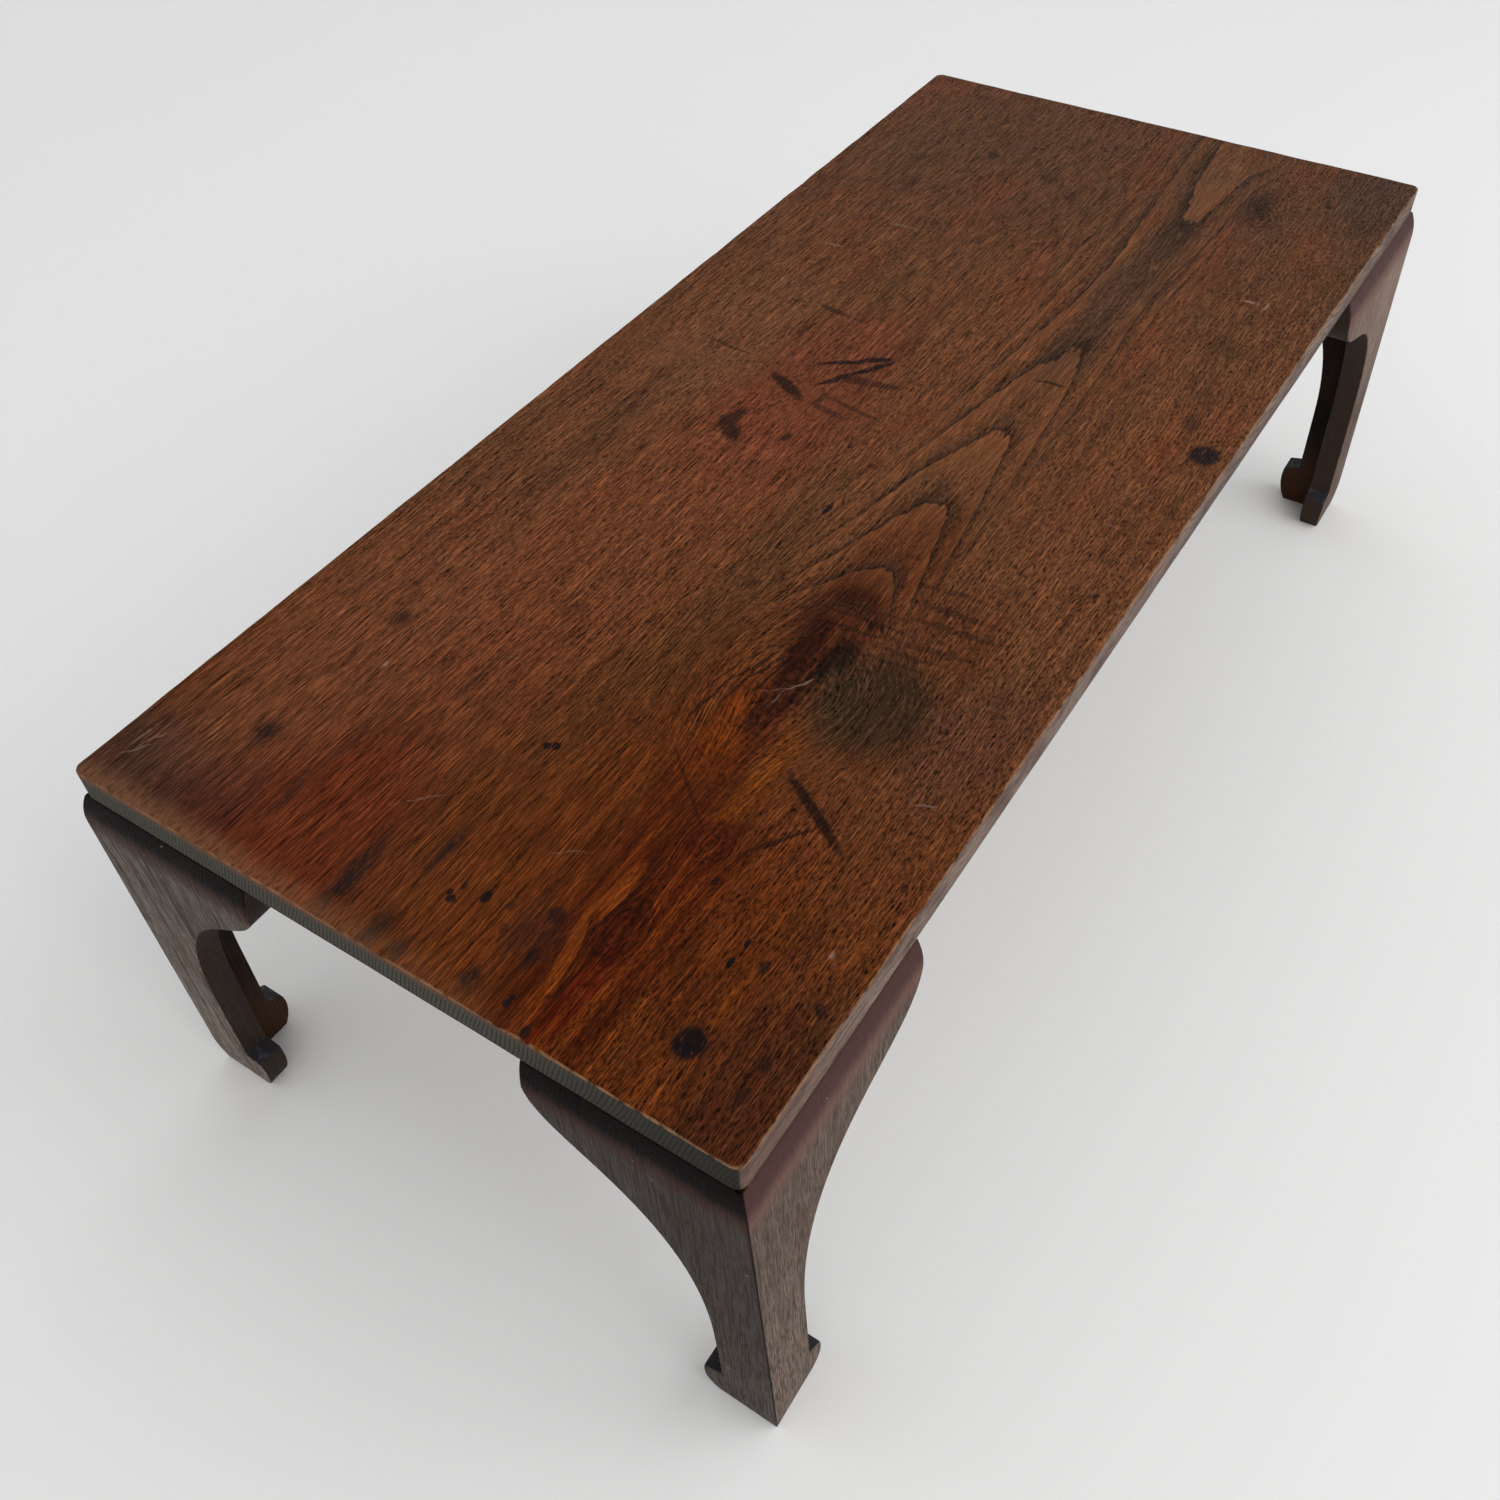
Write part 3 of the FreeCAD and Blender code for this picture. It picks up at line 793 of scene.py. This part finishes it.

# Height at which the painted shade on a leg's shoulder ends, that of its black core, and how far the core
# fades
SHADE_FOOT = 239.0
CORE_FOOT = 251.0
CORE_FADE = 11.0

# Colours of the leg boards
LEG_DIRT = srgb(72, 54, 44)
FAR_LEG_PALE = srgb(152, 124, 114)
FAR_LEG_LOW = srgb(78, 59, 49)
LEG_DASH = srgb(32, 26, 22)
LEG_LONG_LINE = srgb(38, 31, 27)
INNER_LINE = srgb(12, 8, 6)
INNER_DIRT = srgb(48, 27, 17)
CUT_GREY = srgb(54, 43, 38)
# Painted light on the inner faces near the floor
INNER_PAINTED_LIGHT = srgb(70, 43, 26)
LEG_ARRIS = srgb(134, 112, 92)
HOOK_SLATE = srgb(40, 43, 49)
HOOK_SCUFF = srgb(112, 114, 116)
SEAM_DARK = srgb(26, 13, 10)
FLECK_PALE = srgb(170, 162, 152)

# Colours in which the two boards of a leg differ, in the order in which leg_wood takes them. The boards are
# one
# wood: the end boards' colours are darker as painted shade, the side boards' lighter as painted light.
SHADED_END_BOARD_COLOURS = (
    srgb(6, 5, 5), srgb(58, 35, 27), srgb(83, 75, 68), srgb(45, 38, 34), srgb(14, 9, 8),
)
LIT_SIDE_BOARD_COLOURS = (
    srgb(72, 49, 47), srgb(104, 74, 66), srgb(122, 105, 93), srgb(72, 58, 50), srgb(34, 20, 13),
)


class LegShader(Shader):
    """A leg board's material, with the places and patterns that its faces share."""

    def __init__(self, name, outer_axis):
        super().__init__(name)
        self.whole, self.x, self.y, self.z = self.place()
        self.normal = self.facing()
        self.outward = self.normal[outer_axis] * self.math("SIGN", (self.x, self.y)[outer_axis])
        self.outer = self.smooth(self.outward, 0.3, 0.6)
        wander = (self.noise(self.whole, WANDER_PATCH) - 0.5) * LEG_FIBRE_STRAY
        self.fibres = self.join(self.x + wander, self.y + wander, self.z)
        self.lines = self.patches(self.fibres, LINE_PATCH, 0.45, 0.61, detail=1.5, roughness=0.6)
        self.dashes = self.patches(self.fibres, DASH_PATCH, 0.5, 0.63, detail=1.0)
        self.dirt = self.noise(self.whole, DIRT_PATCH, detail=4.0)


def outer_face(wood, is_end_board, pale, dark):
    """Upright grain on the outer face: paler on the far legs, and on the end boards at the back."""
    bands = wood.noise(wood.fibres, BAND_PATCH, detail=3.0, roughness=0.6)
    long_lines = wood.patches(wood.fibres, LONG_LINE_PATCH, 0.5, 0.62, detail=1.0)
    back_end = wood.smooth(wood.y, 0.0, 150.0) * (1.0 if is_end_board else 0.0)
    far = wood.smooth(wood.x, 200.0, 440.0)
    colour = wood.paint(pale, wood.smooth(bands, 0.36, 0.64) * 0.4, dark)
    colour = wood.paint(colour, wood.smooth(wood.dirt, 0.5, 0.75) * 0.5, LEG_DIRT)
    colour = wood.paint(colour, wood.smooth(wood.z, 120.0, 20.0) * 0.25, pale)
    colour = wood.paint(colour, far * wood.smooth(wood.z, 120.0, 230.0) * 0.6, FAR_LEG_PALE)
    colour = wood.paint(colour, far * wood.smooth(wood.z, 160.0, 60.0) * 0.3, FAR_LEG_LOW)
    colour = wood.paint(colour, wood.lines * (0.6 - far * 0.2), dark)
    colour = wood.paint(colour, wood.dashes * (0.6 - far * 0.25), LEG_DASH)
    front_upper = (1.0 - far) * wood.smooth(wood.y, 0.0, -150.0) * wood.smooth(wood.z, 80.0, 200.0)
    colour = wood.paint(colour, front_upper * 0.4, dark)
    colour = wood.scale(colour, back_end * (wood.smooth(wood.z, 220.0, 30.0) * 0.9 + 0.9) + 1.0)
    return wood.paint(colour, long_lines * (back_end * 0.45 + 0.15), LEG_LONG_LINE)


def stained_shaded_inner_face(wood, cut_face, inner):
    """Inner faces in stain and painted shade, greyer where the curves were cut, lit near the floor by
    painted light.
    """
    colour = wood.paint(inner, wood.lines * 0.6, INNER_LINE)
    colour = wood.paint(colour, wood.smooth(wood.dirt, 0.45, 0.75) * 0.5, INNER_DIRT)
    colour = wood.paint(colour, cut_face * 0.6, CUT_GREY)
    # Lighter brown near the floor: painted light
    return wood.paint(colour, wood.smooth(wood.z, 80.0, 30.0) * (1.0 - cut_face) * 0.5, INNER_PAINTED_LIGHT)


def painted_shoulder_shade(wood, colour, shade, painted_shade_core):
    """Lays painted shade under the top on a colour: a dark band that deepens to a black core."""
    ragged = (wood.noise(wood.fibres, RAGGED_PATCH, detail=3.0) - 0.5) * SHADE_STRAY
    band = wood.smooth(wood.z + ragged, SHADE_FOOT, CORE_FOOT)
    core = wood.smooth(wood.z + ragged * 0.4, CORE_FOOT, CORE_FOOT + CORE_FADE)
    colour = wood.paint(colour, band * wood.outer * 0.85, shade)
    return wood.paint(colour, core * wood.outer * 0.96, painted_shade_core)


def leg_marks(wood, colour):
    """Lays the slate-grey top of the foot's hook, the dark mitre seam and pale flecks on a colour."""
    hook_top = wood.smooth(wood.normal[2], 0.5, 0.85) * wood.smooth(wood.z, 60.0, 50.0)
    scuffs = wood.patches(wood.whole, SCUFF_PATCH, 0.52, 0.7, detail=3.0)
    colour = wood.paint(colour, hook_top * 0.8, HOOK_SLATE)
    colour = wood.paint(colour, hook_top * scuffs * 0.25, HOOK_SCUFF)
    lean = (TOP_UNDERSIDE - wood.z) * (LEG_SPLAY / TOP_UNDERSIDE)
    seam_gap = abs((LEG_CORNER_X - abs(wood.x)) - (LEG_TOP_Y + lean - abs(wood.y)))
    colour = wood.paint(colour, wood.smooth(seam_gap, 1.0, 0.45) * 0.9, SEAM_DARK)
    flecks = wood.patches(wood.whole, FLECK_PATCH, 0.87, 0.9, detail=0.0)
    return wood.paint(colour, flecks * wood.outer * 0.35, FLECK_PALE)


def leg_wood(name, outer_axis, painted_shade_core, shade, pale, dark, inner):
    """A leg board: upright grain, painted shade under the top, paler arrises and inner faces darkened with
    painted shade.

    outer_axis is 0 where the board's outer face looks along x and 1 where it looks along y.
    painted_shade_core is the painted shade just under the top, shade the painted shade it fades through,
    pale and dark the colours of the outer face, and inner that of the faces turned away from it: stained
    wood deepened by painted shade.
    """
    wood = LegShader(name, outer_axis)
    colour = outer_face(wood, outer_axis == 0, pale, dark)
    cut_face = wood.smooth(abs(wood.normal[1 - outer_axis]), 0.4, 0.7)
    turned_away = wood.smooth(wood.outward, 0.6, 0.2)
    # Faces turned away from the outside: stained wood darkened further with painted shade
    colour = wood.paint(colour, turned_away * 0.95, stained_shaded_inner_face(wood, cut_face, inner))
    rounded = wood.smooth(wood.outward, 0.94, 0.84) * wood.smooth(wood.outward, 0.25, 0.45)
    worn = wood.patches(wood.whole, LEG_ARRIS_PATCH, 0.4, 0.65, detail=3.0)
    colour = wood.paint(colour, rounded * worn * 0.4, LEG_ARRIS)
    # Painted shade under the top, darkest just below it
    colour = painted_shoulder_shade(wood, colour, shade, painted_shade_core)
    colour = leg_marks(wood, colour)
    relief = 0.6 - wood.dashes * 0.35 - wood.lines * 0.3
    roughness = wood.dirt * 0.25 + wood.lines * 0.1 + 0.45
    return wood.finish(colour, roughness, relief, LEG_RELIEF, LEG_SHINE)


# Patches and colours of the plain wood under the top
PLAIN_GRAIN_PATCH = (3.0, 38, 3.0)
PLAIN_PORE_PATCH = (1.1, 10, 1.1)
PLAIN_DIRT_PATCH = (70, 70, 40)
PLAIN_BROWN = srgb(88, 60, 42)
PLAIN_GRAIN = srgb(66, 44, 32)
PLAIN_DIRT = srgb(48, 36, 30)
PLAIN_PORE = srgb(30, 21, 16)


def inner_wood():
    """Plain, unpolished wood under the top: battens, blocks, pegs and splines."""
    wood = Shader("inner_wood_worn")
    whole = wood.place()[0]
    grain = wood.noise(whole, PLAIN_GRAIN_PATCH, detail=3.0)
    pores = wood.patches(whole, PLAIN_PORE_PATCH, 0.56, 0.68, detail=1.0)
    dirt = wood.noise(whole, PLAIN_DIRT_PATCH, detail=4.0)
    colour = wood.paint(PLAIN_BROWN, wood.smooth(grain, 0.35, 0.7) * 0.7, PLAIN_GRAIN)
    colour = wood.paint(colour, wood.smooth(dirt, 0.45, 0.7) * 0.5, PLAIN_DIRT)
    colour = wood.paint(colour, pores * 0.7, PLAIN_PORE)
    relief = 0.6 - pores * 0.5 + grain * 0.3
    roughness = dirt * 0.2 + 0.55
    return wood.finish(colour, roughness, relief, PLAIN_RELIEF, LEG_SHINE)


# The top board's mesh, in millimetres
CORNER_RADIUS = 6.0
UNDER_ARRIS = 1.0
ARRIS_MEAN = 1.6
ARRIS_SWING = 0.7
ARRIS_RIPPLE = 0.35
ARRIS_LEAST = 0.8
THICKNESS = TABLE_HEIGHT - TOP_UNDERSIDE
ARRIS_STEPS = (0.0, 0.4, 0.8, 1.3, 1.9, 2.6, 3.4)
EDGE_STEPS = ARRIS_STEPS + (4.6, 6.5, 10.0, 15.0)
PLAN_STEP = 7.0
UNDER_STEPS = tuple(THICKNESS - step for step in (2.0, 1.0, 0.6, 0.0))
SIDE_STEPS = ARRIS_STEPS + (5.0, 7.5, 10.5, 13.5, 16.0) + UNDER_STEPS
LEAST_SET_BACK = 0.15
UNDER_SET_BACK = 0.15
EDGE_WAVE = 0.35
FACE_WAVE = 0.25

# Rates of the top's unevenness: for each millimetre, and of the ripple and the bow against the arris
ARRIS_RATE = 0.045
RIPPLE_RATE = 4.3
BOW_RATE = 0.6
BOW_DEPTH_RATE = 0.04
FACE_RATE = (0.012, 0.02)

# Places in the noise that keep the bow of the edges and the wave of the face apart from the arris
BOW_SHIFT = (7.0, 3.0)
FACE_LAYER = 4.0


def stations(half):
    """Places from -half to half, close together near both ends."""
    inner = half - EDGE_STEPS[-1]
    count = round(2 * inner / PLAN_STEP)
    middle = [-inner + 2 * inner * step / count for step in range(1, count)]
    ends = [half - step for step in EDGE_STEPS]
    return [-place for place in ends] + middle + ends[::-1]


def in_plan(x, y):
    """A point of the square plan moved to the round-cornered one, the way out from it, and its inset."""
    over_x = abs(x) - (HALF_LENGTH - CORNER_RADIUS)
    over_y = abs(y) - (HALF_WIDTH - CORNER_RADIUS)
    inset = min(HALF_LENGTH - abs(x), HALF_WIDTH - abs(y))
    if over_x > 0 and over_y > 0:
        reach = max(over_x, over_y)
        out = Vector((over_x, over_y)).normalized()
        moved = Vector((HALF_LENGTH - CORNER_RADIUS, HALF_WIDTH - CORNER_RADIUS)) + out * reach
    else:
        out = Vector((1, 0)) if over_x - over_y > 0 else Vector((0, 1))
        moved = Vector((abs(x), abs(y)))
    sign = Vector((math.copysign(1, x), math.copysign(1, y)))
    return moved * sign, out * sign, inset


def uneven(seed):
    """Noise from 0 to 1."""
    return 0.5 + 0.5 * noise.noise(seed)


def worn_point(x, y, depth):
    """A point of the sharp-edged slab moved to the worn one: depth is its distance below the top face."""
    plan, out, inset = in_plan(x, y)
    seed = Vector((plan.x * ARRIS_RATE, plan.y * ARRIS_RATE, 0.0))
    swing = ARRIS_SWING * noise.noise(seed)
    arris = max(ARRIS_LEAST, ARRIS_MEAN + swing + ARRIS_RIPPLE * noise.noise(seed * RIPPLE_RATE))
    bow_seed = seed * BOW_RATE + Vector((*BOW_SHIFT, depth * BOW_DEPTH_RATE))
    bow = LEAST_SET_BACK + EDGE_WAVE * uneven(bow_seed)
    height = TABLE_HEIGHT - depth * (1 - UNDER_SET_BACK / THICKNESS)
    from_under = THICKNESS - depth
    push = inset
    if inset > 0 and depth == 0:
        height -= FACE_WAVE * uneven(Vector((x * FACE_RATE[0], y * FACE_RATE[1], FACE_LAYER)))
    for radius, gap, sense in ((arris, depth, 1), (UNDER_ARRIS, from_under, -1)):
        if inset < radius and gap == 0:
            angle = math.radians(45) * (1 - inset / radius)
        elif inset == 0 and gap < radius:
            angle = math.radians(45) * (1 + gap / radius)
        else:
            continue
        push = radius * (1 - math.sin(angle))
        height += sense * (gap - radius * (1 - math.cos(angle)))
    near_edge = max(0.0, 1 - inset / EDGE_STEPS[-1])
    place = plan + out * (inset - push - bow * near_edge)
    return Vector((place.x, place.y, height)) * MM


def worn_top():
    """The top plank as one closed mesh on a lattice that is fine along its arrises."""
    xs = stations(HALF_LENGTH)
    ys = stations(HALF_WIDTH)
    zs = SIDE_STEPS
    last = (len(xs) - 1, len(ys) - 1, len(zs) - 1)
    work = bmesh.new()
    made = {}

    def corner(key):
        if key not in made:
            made[key] = work.verts.new(worn_point(xs[key[0]], ys[key[1]], zs[key[2]]))
        return made[key]

    def side(fixed, end, flip):
        """All faces of one side of the box: the index named fixed stays at its end."""
        first, second = [axis for axis in range(3) if axis != fixed]
        for i in range(last[first]):
            for j in range(last[second]):
                ring = []
                for step_i, step_j in ((0, 0), (1, 0), (1, 1), (0, 1)):
                    key = [end, end, end]
                    key[first] = i + step_i
                    key[second] = j + step_j
                    ring.append(corner(tuple(key)))
                work.faces.new(ring[::-1] if flip else ring)

    for fixed in range(3):
        side(fixed, 0, fixed == 1)
        side(fixed, last[fixed], fixed != 1)
    bmesh.ops.recalc_face_normals(work, faces=work.faces[:])
    return piece_from(work, "top_board_worn")


# Eased arrises on the other pieces, in millimetres and degrees
ARRIS_EASE = 1.0
SEAM_EASE = 0.45
SHORTEST_EASED = 1.0
WELD = 0.01
FLAT_DEGREES = 0.6
SHARP_DEGREES = 32
EASE_SEGMENTS = 3

# How far a mitre's normal may be from a diagonal of the plan, and from level
DIAGONAL_SLACK = 0.1
LEVEL_SLACK = 0.3


def piece_from(work, name):
    """A smooth-shaded object made from an edited mesh."""
    mesh = bpy.data.meshes.new(name)
    work.to_mesh(mesh)
    work.free()
    packed_normals = mesh.attributes.get("custom_normal")
    if packed_normals:
        mesh.attributes.remove(packed_normals)
    mesh.shade_smooth()
    piece = bpy.data.objects.new(name, mesh)
    bpy.context.scene.collection.objects.link(piece)
    return piece


def on_mitre(face):
    """True for a face of the mitre, which looks along a diagonal of the plan."""
    off_diagonal = abs(abs(face.normal.x) - abs(face.normal.y))
    return off_diagonal < DIAGONAL_SLACK and abs(face.normal.z) < LEVEL_SLACK


def eased(node):
    """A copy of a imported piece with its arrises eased, and less so along a mitre."""
    work = bmesh.new()
    work.from_mesh(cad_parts[node].data)
    bmesh.ops.remove_doubles(work, verts=work.verts[:], dist=WELD * MM)
    flat = math.radians(FLAT_DEGREES)
    bmesh.ops.dissolve_limit(work, angle_limit=flat, verts=work.verts[:], edges=work.edges[:])
    weight = work.edges.layers.float.new("bevel_weight_edge")
    for edge in work.edges:
        upper = max(vertex.co.z for vertex in edge.verts) * TO_MM
        high = upper > TOP_UNDERSIDE + WELD
        on_floor = upper < WELD
        short = edge.calc_length() * TO_MM < SHORTEST_EASED
        soft = edge.calc_face_angle(0) < math.radians(SHARP_DEGREES)
        if high or on_floor or short or soft:
            continue
        mitred = [face for face in edge.link_faces if on_mitre(face)]
        edge[weight] = {0: 1.0, 1: SEAM_EASE / ARRIS_EASE, 2: 0.0}[len(mitred)]
    piece = piece_from(work, node + "_worn")
    ease = piece.modifiers.new("ease", "BEVEL")
    ease.limit_method = "WEIGHT"
    ease.width = ARRIS_EASE * MM
    ease.segments = EASE_SEGMENTS
    ease.use_clamp_overlap = False
    even = piece.modifiers.new("even", "WEIGHTED_NORMAL")
    even.keep_sharp = False
    return piece


def dress(piece, node, material):
    """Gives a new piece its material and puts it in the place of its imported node."""
    piece.data.materials.clear()
    piece.data.materials.append(material)
    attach(piece, "root")
    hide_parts(node)


def carry_over(node, material):
    """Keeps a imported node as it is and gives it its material."""
    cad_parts[node].material_slots[0].material = material


def build_table():
    """All pieces of the table, with their wood."""
    # The end boards take the colours in painted shade, the side boards those in painted light
    shaded_end_material = leg_wood("leg_end_wood_shaded", 0, *SHADED_END_BOARD_COLOURS)
    lit_side_material = leg_wood("leg_side_wood_lit", 1, *LIT_SIDE_BOARD_COLOURS)
    plain_material = inner_wood()
    dress(worn_top(), "top_board", top_wood())
    for corner in ("front_left", "front_right", "back_left", "back_right"):
        for board, material in (("leg_end_board", shaded_end_material), ("leg_side_board", lit_side_material)):
            node = corner + "_" + board
            dress(eased(node), node, material)
        block = corner + "_corner_block"
        dress(eased(block), block, plain_material)
        carry_over(corner + "_leg_spline", plain_material)
    for node in ("left_batten", "right_batten"):
        dress(eased(node), node, plain_material)
    carry_over("corner_block_pegs", plain_material)


# Stage and light, in metres
FLOOR_RADIUS = 30.0
FLOOR_SEGMENTS = 128
FLOOR_COLOUR = (0.94, 0.94, 0.94, 1.0)
FLOOR_MOTTLE = (0.86, 0.86, 0.86, 1.0)
FLOOR_ROUGHNESS = 0.75
FLOOR_SHINE = 0.2
ZENITH_STRENGTH = 0.51
HORIZON_STRENGTH = 1.16
KEY_PLACE = (0.2, -2.0, 2.2)
KEY_AIM = (0.0, 0.0, 0.2)
KEY_SIZE = 2.4
KEY_POWER = 28.0

# Mottling of the floor, in millimetres
MOTTLE_PATCH = (220, 220, 220)
FLOOR_RELIEF = 0.2


def build_floor():
    """A plain pale floor with the faintest mottling."""
    work = bmesh.new()
    bmesh.ops.create_circle(work, cap_ends=True, radius=FLOOR_RADIUS, segments=FLOOR_SEGMENTS)
    floor = piece_from(work, "floor")
    ground = Shader("floor_pale")
    whole = ground.place()[0]
    mottle = ground.noise(whole, MOTTLE_PATCH, detail=4.0)
    colour = ground.paint(FLOOR_COLOUR, mottle * 0.12, FLOOR_MOTTLE)
    material = ground.finish(colour, FLOOR_ROUGHNESS, mottle, FLOOR_RELIEF, FLOOR_SHINE)
    floor.data.materials.append(material)


def build_sky():
    """A white sky that is brighter near the horizon, as in a room with large windows."""
    world = bpy.data.worlds.new("studio")
    world.use_nodes = True
    tree = world.node_tree
    sky = tree.nodes["Background"]
    direction = tree.nodes.new("ShaderNodeTexCoord")
    split = tree.nodes.new("ShaderNodeSeparateXYZ")
    strength = tree.nodes.new("ShaderNodeMapRange")
    strength.interpolation_type = "SMOOTHSTEP"
    strength.inputs["To Min"].default_value = HORIZON_STRENGTH
    strength.inputs["To Max"].default_value = ZENITH_STRENGTH
    sky.inputs["Color"].default_value = (1.0, 1.0, 1.0, 1.0)
    tree.links.new(direction.outputs["Generated"], split.inputs[0])
    tree.links.new(split.outputs["Z"], strength.inputs["Value"])
    tree.links.new(strength.outputs[0], sky.inputs["Strength"])
    bpy.context.scene.world = world


def build_key():
    """One large soft lamp on the front side."""
    lamp = bpy.data.lights.new("key", "AREA")
    lamp.size = KEY_SIZE
    lamp.energy = KEY_POWER
    key = bpy.data.objects.new("key", lamp)
    key.location = KEY_PLACE
    key.rotation_euler = (Vector(KEY_AIM) - Vector(KEY_PLACE)).to_track_quat("-Z", "Y").to_euler()
    bpy.context.scene.collection.objects.link(key)


def build_camera():
    """The photograph's view."""
    lens = bpy.data.cameras.new("camera")
    lens.sensor_width = SENSOR_WIDTH
    lens.lens = SENSOR_WIDTH * FOCAL_PIXELS / PHOTO_WIDTH
    lens.clip_start = NEAREST_SEEN * MM
    camera = bpy.data.objects.new("camera", lens)
    back = -Vector(CAMERA_LOOK).normalized()
    right = Vector(CAMERA_UP).cross(back).normalized()
    up = back.cross(right)
    turned = Matrix((right, up, back)).transposed().to_4x4()
    camera.matrix_world = Matrix.Translation(Vector(CAMERA_PLACE) * MM) @ turned
    bpy.context.scene.collection.objects.link(camera)
    bpy.context.scene.camera = camera


build_table()
build_floor()
build_sky()
build_key()
build_camera()
bpy.context.scene.view_settings.view_transform = "Standard"
